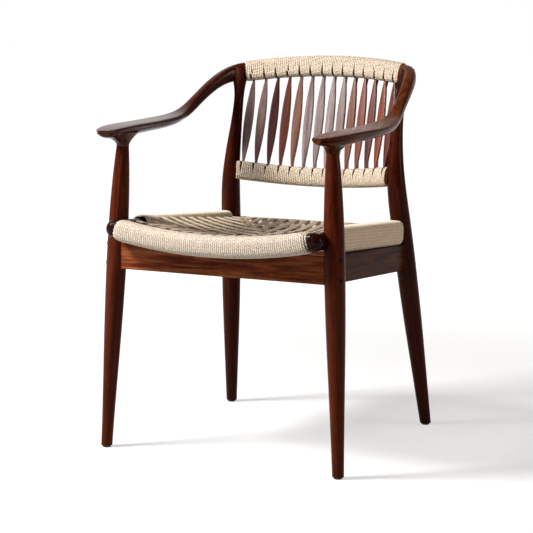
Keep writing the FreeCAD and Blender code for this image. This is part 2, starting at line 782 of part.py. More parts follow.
for name, sign in LEFT_RIGHT:
    save("front_leg_" + name, mirrored(front_leg(), sign))
    save("rear_leg_" + name, mirrored(rear_leg(), sign))
    save("side_seat_rail_" + name, mirrored(side_rail(), sign))
    tools = [plain_rear_leg, side_rail_body(fit_clearance, cut_overrun)]
    wrap = side_rail_body(wrap_thickness, 0, rear_leg_diameter / 2 + side_wrap_rear_gap)
    save("side_rail_wrap_" + name, mirrored(wrap.cut(tools), sign))
    board = apron(*side_apron_ends()).cut([plain_front_leg, plain_rear_leg])
    tongue = side_apron_tongue(0).common(Part.makeCompound([plain_front_leg, plain_rear_leg]))
    save("side_apron_" + name, mirrored(board.fuse(tongue), sign))
    tools = [plain_rear_leg, arm_dowel(fit_clearance), front_leg_bore()]
    save("arm_" + name, mirrored(carved_arm().cut(tools), sign))
    save("arm_dowel_" + name, mirrored(arm_dowel(0), sign))
    save("front_glide_" + name, mirrored(glide(front_foot), sign))
    save("rear_glide_" + name, mirrored(glide(rear_foot), sign))
    for place, height in zip(("lower", "upper"), plug_heights):
        save("peg_plug_" + place + "_" + name, mirrored(plug(height, 0), sign))

tenons = end_tenons(crest_height, crest_end.y, crest_tip, back_tenon_diameter, rear_legs)
arms = both(carved_arm())
save("crest_rail", crest(0, crest_rail_inset).cut(rear_legs + arms + slat_slots).fuse(tenons))
tools = [crest(fit_clearance)] + rear_legs + arms + slat_slots
save("crest_wrap", crest(wrap_thickness, arm_head_inset + wrap_gap).cut(tools))

tenons = end_tenons(lower_rail_height, lower_end.y, lower_tip, back_tenon_diameter, rear_legs)
save("lower_back_rail", lower_rail(0, lower_rail_inset).cut(rear_legs + slat_slots).fuse(tenons))
tools = [lower_rail(fit_clearance)] + rear_legs + slat_slots
post_inset = rear_leg_diameter / 2 - wrap_thickness
save("lower_back_wrap", lower_rail(wrap_thickness, post_inset).cut(tools))

for i in range(slat_count):
    save("back_slat_%02d" % (i + 1), slat(i, 0))

tenons = end_tenons(front_rail_height, front_rail_end.y, front_rail_tip, front_rail_tenon_diameter, noses)
save("front_seat_rail", front_rail(0).cut(noses).fuse(tenons))
front_envelope = front_rail(wrap_thickness, nose_diameter / 2 - front_wrap_overlap)
save("front_rail_wrap", front_envelope.cut([front_rail(fit_clearance)] + noses))

width = rear_rail_tenon_diameter
tenons = end_tenons(rear_rail_height, rear_rail_centre.y, rear_rail_tip, width, rear_legs)
save("rear_seat_rail", rear_rail(0).cut(rear_legs).fuse(tenons))
rear_envelope = rear_rail(wrap_thickness)
side_envelopes = both(side_rail_body(wrap_thickness))
save("rear_rail_wrap", rear_envelope.cut([rear_rail(fit_clearance)] + rear_legs + side_envelopes))

front_legs = both(plain_front_leg)
for name, axis, bottom, legs in (
    ("front_apron", front_axis, front_apron_bottom, front_legs),
    ("rear_apron", rear_axis, rear_apron_bottom, rear_legs),
):
    tongue = cross_tongue(axis, bottom, 0).common(Part.makeCompound(legs))
    save(name, cross_apron(axis, bottom).cut(legs).fuse(tongue))

for name, count, crosswise, envelopes in (
    ("seat_strips_across", crosswise_count, True, side_envelopes),
    ("seat_strips_lengthwise", lengthwise_count, False, [front_envelope, rear_envelope]),
):
    strips = [seat_strip(i, crosswise).cut(envelopes) for i in range(count)]
    save(name, Part.makeCompound([max(strip.Solids, key=lambda piece: piece.Volume) for strip in strips]))
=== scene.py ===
import math

import bmesh
import bpy
import numpy as np
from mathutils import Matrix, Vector


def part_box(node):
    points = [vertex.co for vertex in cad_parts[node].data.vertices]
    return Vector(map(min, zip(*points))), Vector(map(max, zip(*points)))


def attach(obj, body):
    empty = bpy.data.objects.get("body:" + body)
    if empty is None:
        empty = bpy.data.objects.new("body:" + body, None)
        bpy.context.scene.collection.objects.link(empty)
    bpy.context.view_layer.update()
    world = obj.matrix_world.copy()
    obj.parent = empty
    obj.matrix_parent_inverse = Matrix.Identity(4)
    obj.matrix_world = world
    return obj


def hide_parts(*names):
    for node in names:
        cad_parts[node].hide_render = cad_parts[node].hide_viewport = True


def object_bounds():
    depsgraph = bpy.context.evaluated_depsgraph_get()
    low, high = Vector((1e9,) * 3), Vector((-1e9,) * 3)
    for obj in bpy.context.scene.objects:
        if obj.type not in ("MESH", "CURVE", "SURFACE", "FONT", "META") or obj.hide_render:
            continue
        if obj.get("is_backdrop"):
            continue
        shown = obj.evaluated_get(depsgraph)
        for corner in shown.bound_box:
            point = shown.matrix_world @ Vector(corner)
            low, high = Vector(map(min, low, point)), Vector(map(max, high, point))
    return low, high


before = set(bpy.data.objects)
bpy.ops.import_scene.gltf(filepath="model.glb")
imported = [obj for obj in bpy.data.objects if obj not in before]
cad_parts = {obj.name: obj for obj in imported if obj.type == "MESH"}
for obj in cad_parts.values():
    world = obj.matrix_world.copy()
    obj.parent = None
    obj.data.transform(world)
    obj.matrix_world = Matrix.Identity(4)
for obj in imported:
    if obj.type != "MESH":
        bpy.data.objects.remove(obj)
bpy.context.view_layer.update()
mm = 0.001


# Front legs: two turned legs of dark red-brown hardwood, splayed outwards and forwards.
# Each is turned on a lathe, stained and sprayed with satin lacquer. The side rail's nose passes
# through a housing in the leg, and a round tenon on top holds the arm.

leg_colours = ("#43170b", "#501f0e", "#5d2712")
streak_colour = "#ddd6d2"
pore_colour = "#d6ccc8"
unchanged = "#ffffff"
figure_size = (13 * mm, 260 * mm)
streak_size = (2.6 * mm, 90 * mm)
pore_size = (0.9 * mm, 14 * mm)
pore_depth = 0.2 * mm
lacquer_shine = 0.04
front_leg_lean = 28.7 * mm
front_leg_height = 606 * mm


def linear(colour):
    """An sRGB hex colour as linear red, green and blue with full alpha."""
    channels = [int(colour[i:i + 2], 16) / 255 for i in (1, 3, 5)]
    return tuple(c / 12.92 if c <= 0.04045 else ((c + 0.055) / 1.055) ** 2.4 for c in channels) + (1.0,)


def add(tree, kind, values=(), links=(), **settings):
    """One node: settings are its own properties, values its inputs, links (input, other node, its output)."""
    node = tree.nodes.new(kind)
    for name, value in settings.items():
        setattr(node, name, value)
    for socket, value in values:
        node.inputs[socket].default_value = value
    for socket, source, output in links:
        tree.links.new(source.outputs[output], node.inputs[socket])
    return node


def new_material(name):
    """A material with an empty node tree, and the tree."""
    material = bpy.data.materials.new(name)
    material.use_nodes = True
    material.node_tree.nodes.clear()
    return material, material.node_tree


def colour_stops(ramp, stops):
    """Sets a colour ramp to a list of (place, hex colour)."""
    elements = ramp.color_ramp.elements
    while len(elements) > 1:
        elements.remove(elements[0])
    elements[0].position, elements[0].color = stops[0][0], linear(stops[0][1])
    for place, colour in stops[1:]:
        elements.new(place).color = linear(colour)


def lacquered_wood(name, grain, colours, figure=figure_size, shine=lacquer_shine):
    """Stained hardwood under thin satin lacquer: broad figure, thin streaks and open pores, all drawn out
    along the grain's direction, each with a width and a length. The streaks are coarser than real ones,
    which a pixel would swallow. The lacquer mirrors little, so that the wood keeps its depth of colour."""
    material, tree = new_material(name)
    turn = Vector((0, 0, 1)).rotation_difference(Vector(grain)).to_euler()
    place = add(tree, "ShaderNodeTexCoord")

    def grain_noise(size, detail, distortion):
        width, length = size
        stretched = add(tree, "ShaderNodeMapping", [("Rotation", turn), ("Scale", (width, width, length))],
                        [("Vector", place, "Object")], vector_type="TEXTURE")
        return add(tree, "ShaderNodeTexNoise",
                   [("Scale", 1.0), ("Detail", detail), ("Distortion", distortion)],
                   [("Vector", stretched, "Vector")])

    broad = grain_noise(figure, 3.0, 0.9)
    streaks = grain_noise(streak_size, 2.0, 0.2)
    pores = grain_noise(pore_size, 1.0, 0.0)
    colour = add(tree, "ShaderNodeValToRGB", links=[("Fac", broad, 0)])
    colour_stops(colour, list(zip((0.34, 0.5, 0.66), colours)))
    thin = add(tree, "ShaderNodeValToRGB", links=[("Fac", streaks, 0)])
    colour_stops(thin, [(0.36, streak_colour), (0.56, unchanged)])
    dots = add(tree, "ShaderNodeValToRGB", links=[("Fac", pores, 0)])
    colour_stops(dots, [(0.34, pore_colour), (0.46, unchanged)])
    streaked = add(tree, "ShaderNodeMix", [(0, 1.0)], [(6, colour, "Color"), (7, thin, "Color")],
                   data_type="RGBA", blend_type="MULTIPLY")
    pored = add(tree, "ShaderNodeMix", [(0, 1.0)], [(6, streaked, 2), (7, dots, "Color")],
                data_type="RGBA", blend_type="MULTIPLY")
    rough = add(tree, "ShaderNodeMapRange", [("To Min", 0.2), ("To Max", 0.28)], [("Value", streaks, 0)])
    relief = add(tree, "ShaderNodeBump", [("Strength", 0.05), ("Distance", pore_depth)],
                 [("Height", pores, 0)])
    shader = add(tree, "ShaderNodeBsdfPrincipled", [("IOR", 1.5), ("Specular IOR Level", shine)],
                 [("Base Color", pored, 2), ("Roughness", rough, "Result"), ("Normal", relief, "Normal")])
    add(tree, "ShaderNodeOutputMaterial", links=[("Surface", shader, "BSDF")])
    return material


def finish_node(name, material):
    """Gives a solid of the frame its finish."""
    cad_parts[name].material_slots[0].material = material


for side, sign in (("left", -1), ("right", 1)):
    grain = (-sign * front_leg_lean, front_leg_lean, front_leg_height)
    wood = lacquered_wood("lacquered_hardwood_front_leg_" + side, grain, leg_colours)
    finish_node("front_leg_" + side, wood)


# Rear legs: each is one bent piece with its back post, sawn from a plank and shaped by hand.
# The same stained hardwood, grain running up the leg, with the arm and the back rails let into its head.
# Its colours are darker than the front legs', as painted shade.

rear_painted_shade_colours = ("#300f07", "#3b1409", "#461a0c")
rear_leg_lean = 35 * mm
rear_leg_rake = 62 * mm
rear_leg_height = 430 * mm
for side, sign in (("left", -1), ("right", 1)):
    grain = (-sign * rear_leg_lean, -rear_leg_rake, rear_leg_height)
    wood = lacquered_wood("lacquered_hardwood_rear_leg_" + side, grain, rear_painted_shade_colours)
    finish_node("rear_leg_" + side, wood)


# Rails: four round-edged seat rails and two back rails, all under the cord. The noses of the side rails show,
# turned and polished, in front of the front legs, and beside them a little of the front rail's ends.
# Same hardwood, with the side and front rails stained darker and polished more.

rail_colours = ("#1a0704", "#270c06", "#321209")
rail_shine = 0.07
rail_wood = lacquered_wood("lacquered_hardwood_rail", (0, 1, 0), rail_colours, shine=rail_shine)
cross_rail_wood = lacquered_wood("lacquered_hardwood_cross_rail", (1, 0, 0), leg_colours)
for side in ("left", "right"):
    finish_node("side_seat_rail_" + side, rail_wood)
for name in ("rear_seat_rail", "crest_rail", "lower_back_rail"):
    finish_node(name, cross_rail_wood)
finish_node("front_seat_rail", rail_wood)


# Aprons: four sawn boards tenoned between the legs, right under the wrapped rails.
# They are flat-sawn, so their faces show the broad figure of the wood. Their edges are eased.
# The front and rear boards' colours are lighter than the legs', as painted light where the wrapped rail
# shades them; the side boards' colours are darker, as painted shade.

apron_painted_light_colours = ("#522210", "#844124", "#a3613a")
side_apron_painted_shade_colours = ("#2b1108", "#412010", "#542c18")
apron_grain = (1, 0, 0.02)
side_apron_grain = (0, 1, -0.07)
apron_figure = (11 * mm, 170 * mm)
apron_shine = 0.03
side_apron_shine = 0.01
apron_height = 54 * mm
apron_thickness = 20 * mm
edge_power = 14
board_points = 48
board_end_share = 0.004
merge_distance = 0.001 * mm


def superellipse(angle, power):
    """The outline |x|^p + |y|^p = 1 by its angle parameter: points gather where it turns."""
    c, s = np.cos(angle), np.sin(angle)
    return np.sign(c) * np.abs(c) ** (2 / power), np.sign(s) * np.abs(s) ** (2 / power)


def add_piece(name, points, material, slot, replaced, **attributes):
    """One mesh from tubes: points has tubes x rings x points round x 3, each ring is closed and the two end
    rings of a tube are drawn to their middle. Attributes hold one number for each point."""
    tubes, rings, round_count = points.shape[:3]
    points = points.copy()
    points[:, (0, -1)] = points[:, (0, -1)].mean(axis=2, keepdims=True)
    index = np.arange(tubes * rings * round_count).reshape(tubes, rings, round_count)
    after = np.roll(index, -1, axis=2)
    quads = np.stack((index[:, :-1], after[:, :-1], after[:, 1:], index[:, 1:]), axis=-1).reshape(-1, 4)
    mesh = bpy.data.meshes.new(name)
    mesh.vertices.add(index.size)
    mesh.vertices.foreach_set("co", points.astype(np.float32).ravel())
    mesh.loops.add(quads.size)
    mesh.loops.foreach_set("vertex_index", quads.astype(np.int32).ravel())
    mesh.polygons.add(len(quads))
    mesh.polygons.foreach_set("loop_start", np.arange(0, quads.size, 4, dtype=np.int32))
    mesh.update(calc_edges=True)
    for attribute, values in attributes.items():
        layer = mesh.attributes.new(attribute, "FLOAT", "POINT")
        layer.data.foreach_set("value", np.broadcast_to(values, index.shape).astype(np.float32).ravel())
    work = bmesh.new()
    work.from_mesh(mesh)
    bmesh.ops.remove_doubles(work, verts=work.verts, dist=merge_distance)
    bmesh.ops.recalc_face_normals(work, faces=work.faces)
    work.to_mesh(mesh)
    work.free()
    mesh.polygons.foreach_set("use_smooth", np.ones(len(mesh.polygons), dtype=bool))
    mesh.materials.append(material)
    piece = bpy.data.objects.new(name, mesh)
    bpy.context.scene.collection.objects.link(piece)
    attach(piece, "root")
    if replaced:
        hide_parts(*replaced)
    return piece


def straight_board(start, end, height, thickness):
    """A board from start to end, given at the middle of its lower edge: a rounded section, height x
    thickness, carried along the line, with the end rings doubled so that the ends stay flat."""
    start, end = np.array(start), np.array(end)
    along = end - start
    across = np.cross(along, (0, 0, 1))
    across = across / np.linalg.norm(across)
    wide, tall = superellipse(np.linspace(0, 2 * np.pi, board_points, endpoint=False), edge_power)
    section = across * (wide * thickness / 2)[:, None] + np.array((0, 0, height / 2)) * (tall + 1)[:, None]
    shares = np.array((0, 0, board_end_share, 1 - board_end_share, 1, 1))
    return start + along * shares[:, None, None] + section


for name in ("front_apron", "rear_apron"):
    low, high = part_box(name)
    middle = (low.y + high.y) / 2
    board = straight_board((low.x, middle, low.z), (high.x, middle, low.z), apron_height, apron_thickness)
    wood = lacquered_wood("lacquered_hardwood_" + name, apron_grain, apron_painted_light_colours, apron_figure, apron_shine)
    add_piece(name + "_board", board[None], wood, "lacquered_wood", [name])
for side, sign in (("left", -1), ("right", 1)):
    low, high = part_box("side_apron_" + side)
    outer = max(abs(low.x), abs(high.x)) - apron_thickness / 2
    inner = min(abs(low.x), abs(high.x)) + apron_thickness / 2
    start = (sign * outer, low.y, high.z - apron_height)
    end = (sign * inner, high.y, low.z)
    wood = lacquered_wood("lacquered_hardwood_side_apron_" + side, side_apron_grain, side_apron_painted_shade_colours,
                          apron_figure, side_apron_shine)
    board = straight_board(start, end, apron_height, apron_thickness)
    add_piece("side_apron_board_" + side, board[None], wood, "lacquered_wood", ["side_apron_" + side])


# Peg plugs: small turned plugs of the same wood over the screws that hold the front apron,
# two on the outer side of each front leg. They show end grain and are darker than the leg.

plug_turn = math.radians(25)
plug_colours = ("#140403", "#220a06", "#32120a")
plug_figure = (2 * mm, 3 * mm)
plug_radius_shares = np.array((1, 1, 1, 0.94, 0.75, 0.4, 0.4))
plug_height_shares = np.array((0, 0, 0.9, 0.95, 1.0, 1.03, 1.03))
plug_wood = lacquered_wood("lacquered_hardwood_plug", (1, 0, 0), plug_colours, plug_figure)


def turned(base, axis, radii, heights, round_count=32):
    """A turned form: each radius is carried round the axis at its height above the base."""
    axis = np.array(axis) / np.linalg.norm(axis)
    first = np.cross(axis, (0.3, 0.5, 0.8))
    first = first / np.linalg.norm(first)
    second = np.cross(axis, first)
    angle = np.linspace(0, 2 * np.pi, round_count, endpoint=False)
    ring = np.cos(angle)[:, None] * first + np.sin(angle)[:, None] * second
    return np.array(base) + np.multiply.outer(heights, axis)[:, None] + ring * np.array(radii)[:, None, None]


for side, sign in (("left", -1), ("right", 1)):
    heading = Vector((sign * math.cos(plug_turn), -math.sin(plug_turn), 0))
    for place in ("lower", "upper"):
        name = "peg_plug_%s_%s" % (place, side)
        low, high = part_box(name)
        radius = (high.z - low.z) / 2
        length = (high.x - low.x - 2 * radius * math.sin(plug_turn)) / math.cos(plug_turn)
        base = (low + high) / 2 - heading * (length / 2)
        form = turned(base, heading, radius * plug_radius_shares, length * plug_height_shares)
        add_piece("turned_" + name, form[None], plug_wood, "lacquered_wood", [name])


# Glides: moulded black plastic discs with a stem, pressed into the foot of each leg.
# Their rim is rounded and their surface has a fine matt spark-eroded texture.

glide_height = 4 * mm
glide_radius_shares = np.array((0.0, 0.86, 0.97, 1.0, 1.0, 0.97, 0.36, 0.36, 0.0))
glide_height_shares = np.array((0.0, 0.0, 0.12, 0.3, 0.8, 0.999, 0.999, 4.5, 4.5))
grit_size = 0.8 * mm
grit_depth = 0.1 * mm


def moulded_plastic(name):
    """Black nylon with a fine matt grain, as the mould leaves it."""
    material, tree = new_material(name)
    place = add(tree, "ShaderNodeTexCoord")
    size = add(tree, "ShaderNodeMapping", [("Scale", (grit_size,) * 3)], [("Vector", place, "Object")],
               vector_type="TEXTURE")
    grit = add(tree, "ShaderNodeTexNoise", [("Scale", 1.0), ("Detail", 2.0)], [("Vector", size, "Vector")])
    colour = add(tree, "ShaderNodeValToRGB", links=[("Fac", grit, 0)])
    colour_stops(colour, [(0.3, "#0c0b0b"), (0.7, "#1c1a19")])
    rough = add(tree, "ShaderNodeMapRange", [("To Min", 0.42), ("To Max", 0.6)], [("Value", grit, 0)])
    relief = add(tree, "ShaderNodeBump", [("Strength", 0.3), ("Distance", grit_depth)], [("Height", grit, 0)])
    shader = add(tree, "ShaderNodeBsdfPrincipled", [("IOR", 1.53)],
                 [("Base Color", colour, "Color"), ("Roughness", rough, "Result"),
                  ("Normal", relief, "Normal")])
    add(tree, "ShaderNodeOutputMaterial", links=[("Surface", shader, "BSDF")])
    return material


black_plastic = moulded_plastic("moulded_black_nylon")
for name in ("front_glide_left", "front_glide_right", "rear_glide_left", "rear_glide_right"):
    low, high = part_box(name)
    base = ((low.x + high.x) / 2, (low.y + high.y) / 2, low.z)
    radii = glide_radius_shares * (high.x - low.x) / 2
    form = turned(base, (0, 0, 1), radii, glide_height_shares * glide_height)
    add_piece("moulded_" + name, form[None], black_plastic, "glide_plastic", [name])


# Back slats: fourteen lens-shaped boards, each square to the bow of the back, thin in the middle and deeper
# at both ends, which sit in slots of the back rails. Same stained hardwood, grain upright, edges eased.
# Their tones go from pale grey-brown to rust: partly the tones of different boards, partly painted
# reflection, which lightens the pale and grey tones.

slat_width = 19.5 * mm
slat_end_width = 4.6 * mm
slat_thickness = 6 * mm
slat_heel = 5 * mm
slat_heel_length = 14 * mm
slat_shoulder = 12 * mm
slat_edge = 0.5 * mm
slat_forward = 1.5 * mm
slat_foot_lift = 8.5 * mm
slat_head_drop = 10.5 * mm
slat_pitch = 25.7 * mm
slat_power = 7
slat_rings = 45
slat_points = 28
crest_half = 195.7 * mm
crest_end = np.array((218.85, 741)) * mm
crest_swell = np.array((42, 14)) * mm
lower_half = 194.2 * mm
lower_end = np.array((161.85, 535)) * mm
lower_swell = np.array((48, -15)) * mm
slat_grain = (0, 0.27, 1)
slat_shine = 0.5
slat_tones_and_painted_reflections = {
    "pale": ("#6a5653", "#7f6a67", "#8e7b78"),
    "grey": ("#5f4844", "#775e59", "#866e69"),
    "brown": ("#5f3a2d", "#764c3c", "#865b4a"),
    "rust": ("#552310", "#6e321a", "#7e4022"),
    "red": ("#4b2119", "#5f2e24", "#6f3b2f"),
    "dark": ("#341412", "#452020", "#522a29"),
}
slat_woods = {tone: lacquered_wood("lacquered_hardwood_slat_" + tone, slat_grain, colours, shine=slat_shine)
              for tone, colours in slat_tones_and_painted_reflections.items()}
slat_order = ("pale", "grey", "dark", "red", "brown", "pale", "pale",
              "pale", "grey", "rust", "rust", "red", "rust", "red")


def bowed_point(x, half, end, swell):
    """The middle of a back rail at x: depth and height follow the parabola 1 - (x / half)^2."""
    return np.array((x, *(end + swell * (1 - (x / half) ** 2))))


def slat_form(x):
    """A lens board: its half width follows one circular arc from shoulder to shoulder, its front is flat and
    its back goes out to a heel at each end. A rounded section is carried from slot to slot."""
    foot = bowed_point(x, lower_half, lower_end, lower_swell) + np.array((0, 0, slat_foot_lift))
    head = bowed_point(x, crest_half, crest_end, crest_swell) - np.array((0, 0, slat_head_drop))
    length = np.linalg.norm(head - foot)
    along = (head - foot) / length
    bow = (crest_swell[0] + lower_swell[0]) / 2
    tangent = np.array((1, -2 * bow * x / crest_half ** 2, 0))
    side = tangent - along * np.dot(along, tangent)
    side = side / np.linalg.norm(side)
    forward = np.cross(side, along)
    half_chord = length / 2 - slat_shoulder
    rise = (slat_width - slat_end_width) / 2
    radius = (half_chord ** 2 + rise ** 2) / (2 * rise)
    marks = np.array((0, slat_shoulder - slat_edge, slat_shoulder, slat_shoulder + slat_heel_length)) / length
    share = np.unique(np.concatenate((np.linspace(0, 1, slat_rings), marks, 1 - marks)))
    share = np.concatenate(([0], share, [1]))
    from_middle = np.abs(share - 0.5) * length
    half_width = slat_width / 2 - radius + np.sqrt(radius ** 2 - np.minimum(from_middle, half_chord) ** 2)
    heel = slat_heel * np.clip(1 - (half_chord - from_middle) / slat_heel_length, 0, 1)
    wide, thick = superellipse(np.linspace(0, 2 * np.pi, slat_points, endpoint=False), slat_power)
    middle = foot + forward * slat_forward + (head - foot) * share[:, None]
    depth = (slat_thickness + heel)[:, None] / 2 * thick - heel[:, None] / 2
    return middle[:, None] + side * (half_width[:, None] * wide)[..., None] + forward * depth[..., None]


slat_names = sorted(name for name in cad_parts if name.startswith("back_slat_"))
slat_middles = (np.arange(len(slat_names)) - (len(slat_names) - 1) / 2) * slat_pitch
for name, x, tone in zip(slat_names, slat_middles, slat_order):
    add_piece("lens_" + name, slat_form(x)[None], slat_woods[tone], "lacquered_wood", [name])


# Arms: carved from thick planks. The upright blade at the post head turns over into the flat hand rest, which
# has a rounded belly. A flared neck under it stands on the front leg, and a hidden dowel ties the arm to the
# post. The belly is a piece of its own here, fitted under the arm's solid.

arm_head = np.array((182.7, 225.85, 741)) * mm
arm_reach = 504 * mm
arm_out = 64 * mm
arm_drop = 96 * mm
arm_width = 62 * mm
rest_reach_shares = np.array((0.27, 0.329, 0.379, 0.438, 0.517, 0.625, 0.753, 0.882, 0.956, 0.985))
rest_out_shares = np.array((0.84, 0.9, 0.94, 0.975, 1.005, 1.02, 0.98, 0.9, 0.8, 0.74))
rest_drop_shares = np.array((0.628, 0.797, 0.885, 0.935, 0.968, 0.997, 1.015, 1.045, 1.074, 1.085))
rest_width_shares = np.array((0.38, 0.45, 0.57, 0.77, 0.93, 1.0, 1.0, 0.93, 0.66, 0.36))
belly_depth_shares = np.array((0.25, 0.5, 0.72, 0.88, 0.97, 1.0, 1.1, 1.14, 0.74, 0.46))
belly_depth = 17 * mm
belly_width_share = 0.95
belly_top = 2 * mm
belly_rings = 60
belly_points = 32


def curve_through(places, values, at):
    """Reads a table by cubic curves between its places, with each place's slope taken from its neighbours."""
    slopes = np.gradient(values, places)
    i = np.clip(np.searchsorted(places, at, side="right") - 1, 0, len(places) - 2)
    step = places[i + 1] - places[i]
    t = (at - places[i]) / step
    held = (1 + 2 * t) * (1 - t) ** 2 * values[i] + t * t * (3 - 2 * t) * values[i + 1]
    return held + step * (t * (1 - t) ** 2 * slopes[i] - t * t * (1 - t) * slopes[i + 1])


def arm_belly():
    """The rounded underside of the right hand rest: below the arm's line a half ellipse as wide as the rest
    and as deep as its table says, carried along the line."""
    at = np.linspace(rest_reach_shares[0], rest_reach_shares[-1], belly_rings)
    tables = (rest_out_shares * arm_out, -rest_reach_shares * arm_reach, -rest_drop_shares * arm_drop)
    line = arm_head + np.stack([curve_through(rest_reach_shares, table, at) for table in tables], axis=-1)
    heading = np.gradient(line, axis=0)
    heading = heading / np.linalg.norm(heading, axis=1, keepdims=True)
    side = np.cross((0, 0, 1), heading)
    side = side / np.linalg.norm(side, axis=1, keepdims=True)
    up = np.cross(heading, side)
    half = curve_through(rest_reach_shares, rest_width_shares, at) * arm_width * belly_width_share / 2
    depth = curve_through(rest_reach_shares, belly_depth_shares, at) * belly_depth
    angle = np.linspace(0, 2 * np.pi, belly_points, endpoint=False)
    wide = half[:, None] * np.cos(angle)
    tall = np.where(np.sin(angle) > 0, belly_top, depth[:, None]) * np.sin(angle)
    return line[:, None] + side[:, None] * wide[..., None] + up[:, None] * tall[..., None]


# The left arm has the rear legs' darker colours, as painted shade, and more polish. The right arm's colours
# are lighter and warmer, as a painted warm reflection.
arm_painted_light_colours = {"left": rear_painted_shade_colours, "right": ("#3e1a0a", "#502510", "#613219")}
arm_shine = {"left": 0.17, "right": 0.03}
arm_figure = (12 * mm, 260 * mm)
for side, sign in (("left", -1), ("right", 1)):
    grain = (-sign * 0.06, 1, 0.16)
    arm_wood = lacquered_wood("lacquered_hardwood_arm_" + side, grain, arm_painted_light_colours[side], arm_figure,
                              arm_shine[side])
    finish_node("arm_" + side, arm_wood)
    finish_node("arm_dowel_" + side, arm_wood)
    belly = arm_belly() * np.array((sign, 1, 1))
    add_piece("arm_belly_" + side, belly[None], arm_wood, "lacquered_wood", [])


# Cord wound on the rails: one long two-strand paper cord for each rail, laid turn beside turn over the wood.
# Its strands are twisted round each other. The twist changes its hand from turn to turn, so that the winding
# looks braided, and it is coarser than the real one, which a pixel would swallow.

cord_diameter = 4.3 * mm
bead_length = 6 * mm
bead_samples = 4
cord_points = 6
strand_groove = 0.45
cord_shade = "#4a382a"
fleck_colour = "#c8bca8"
patch_size = 5 * mm
fibre_size = 0.9 * mm
fibre_depth = 0.25 * mm
cord_overlap = 1.3
cord_flatness = 0.7


def twisted_cord(path, normal, sideways, radius, start, turn=1):
    """Two strands laid round each other along a path: the section's radius is r(1 - g(1 - |cos(f - w)|)),
    with f the angle round the section and w half a turn for each bead's length along the cord."""
    steps = np.linalg.norm(np.diff(path, axis=-2), axis=-1)
    length = np.concatenate((np.zeros(path.shape[:-2] + (1,)), np.cumsum(steps, axis=-1)), axis=-1)
    twist = turn * np.pi * (length / bead_length + start)
    angle = np.linspace(0, 2 * np.pi, cord_points, endpoint=False)
    strand = np.abs(np.cos(angle - twist[..., None]))
    reach = radius * (1 - strand_groove * (1 - strand))
    outward = normal[..., None, :] * (reach * np.cos(angle))[..., None]
    points = path[..., None, :] + outward + sideways[..., None, :] * (reach * np.sin(angle))[..., None]
    return points, strand


def paper_cord(name, shade, dark, middle, light):
    """Twisted kraft paper cord with short fibres: painted light on the strands' crests, painted shade in the
    furrows.
    """
    material, tree = new_material(name)
    place = add(tree, "ShaderNodeTexCoord")
    strand = add(tree, "ShaderNodeAttribute", attribute_name="strand")

    def noise(size, detail):
        scale = add(tree, "ShaderNodeMapping", [("Scale", (size,) * 3)], [("Vector", place, "Object")],
                    vector_type="TEXTURE")
        return add(tree, "ShaderNodeTexNoise", [("Scale", 1.0), ("Detail", detail)],
                   [("Vector", scale, "Vector")])

    patches = noise(patch_size, 2.0)
    fibres = noise(fibre_size, 2.0)
    tone = add(tree, "ShaderNodeMath", [(1, 0.45)], [(0, patches, 0)], operation="MULTIPLY")
    lift = add(tree, "ShaderNodeMath", [(1, 0.55)], [(0, strand, "Fac"), (2, tone, 0)],
               operation="MULTIPLY_ADD")
    colour = add(tree, "ShaderNodeValToRGB", links=[("Fac", lift, 0)])
    # Painted light and shade: the colour goes from the shade stop in the deepest furrows to the light stop on
    # the crests.
    colour_stops(colour, [(0.0, shade), (0.28, dark), (0.52, middle), (0.85, light)])
    speck = add(tree, "ShaderNodeValToRGB", links=[("Fac", fibres, 0)])
    colour_stops(speck, [(0.3, fleck_colour), (0.55, unchanged)])
    flecked = add(tree, "ShaderNodeMix", [(0, 1.0)], [(6, colour, "Color"), (7, speck, "Color")],
                  data_type="RGBA", blend_type="MULTIPLY")
    relief = add(tree, "ShaderNodeBump", [("Strength", 0.4), ("Distance", fibre_depth)],
                 [("Height", fibres, 0)])
    shader = add(tree, "ShaderNodeBsdfPrincipled",
                 [("Roughness", 0.72), ("IOR", 1.48), ("Sheen Weight", 0.25), ("Sheen Roughness", 0.5)],
                 [("Base Color", flecked, 2), ("Normal", relief, "Normal")])
    add(tree, "ShaderNodeOutputMaterial", links=[("Surface", shader, "BSDF")])
    return material


wound_cord = paper_cord("twisted_paper_cord", cord_shade, "#7d6246", "#dccbb6", "#f4ebdf")
# Painted shade: the back rails' cord has darker colours than the seat rails' cord.
back_cord_painted_shade = paper_cord("twisted_paper_cord_back_painted_shade", cord_shade, "#826549", "#d1bea7", "#e6dacb")


def bowed_line(half, end_y, end_z, bow, rise, lean, reach):
    """A rail across the chair: y and z follow the parabola 1 - (x / half)^2 from their end values. Returns a
    function that gives the middle line and the directions along, across and up for shares from 0 to 1."""
    def line(share):
        across = (2 * share - 1) * reach / half
        swell = 1 - across ** 2
        centre = np.stack((half * across, end_y + bow * swell, end_z + rise * swell), axis=-1)
        along = np.stack((np.full_like(across, half), -2 * bow * across, -2 * rise * across), axis=-1)
        along = along / np.linalg.norm(along, axis=-1, keepdims=True)
        side = np.cross((0, lean, 1), along)
        side = side / np.linalg.norm(side, axis=-1, keepdims=True)
        return centre, along, side, np.cross(along, side)
    return line


def straight_line(start, end):
    """A straight rail from start to end, with the same directions as a bowed one."""
    start, end = np.array(start), np.array(end)

    def line(share):
        centre = start + (end - start) * share[..., None]
        along = np.broadcast_to((end - start) / np.linalg.norm(end - start), centre.shape)
        side = np.cross((0, 0, 1), along)
        side = side / np.linalg.norm(side, axis=-1, keepdims=True)
        return centre, along, side, np.cross(along, side)
    return line


crease_gap = 2.6 * mm
crease_reach = 9 * mm
outline_share = 0.9
wrap_end_share = 0.84
length_samples = 65


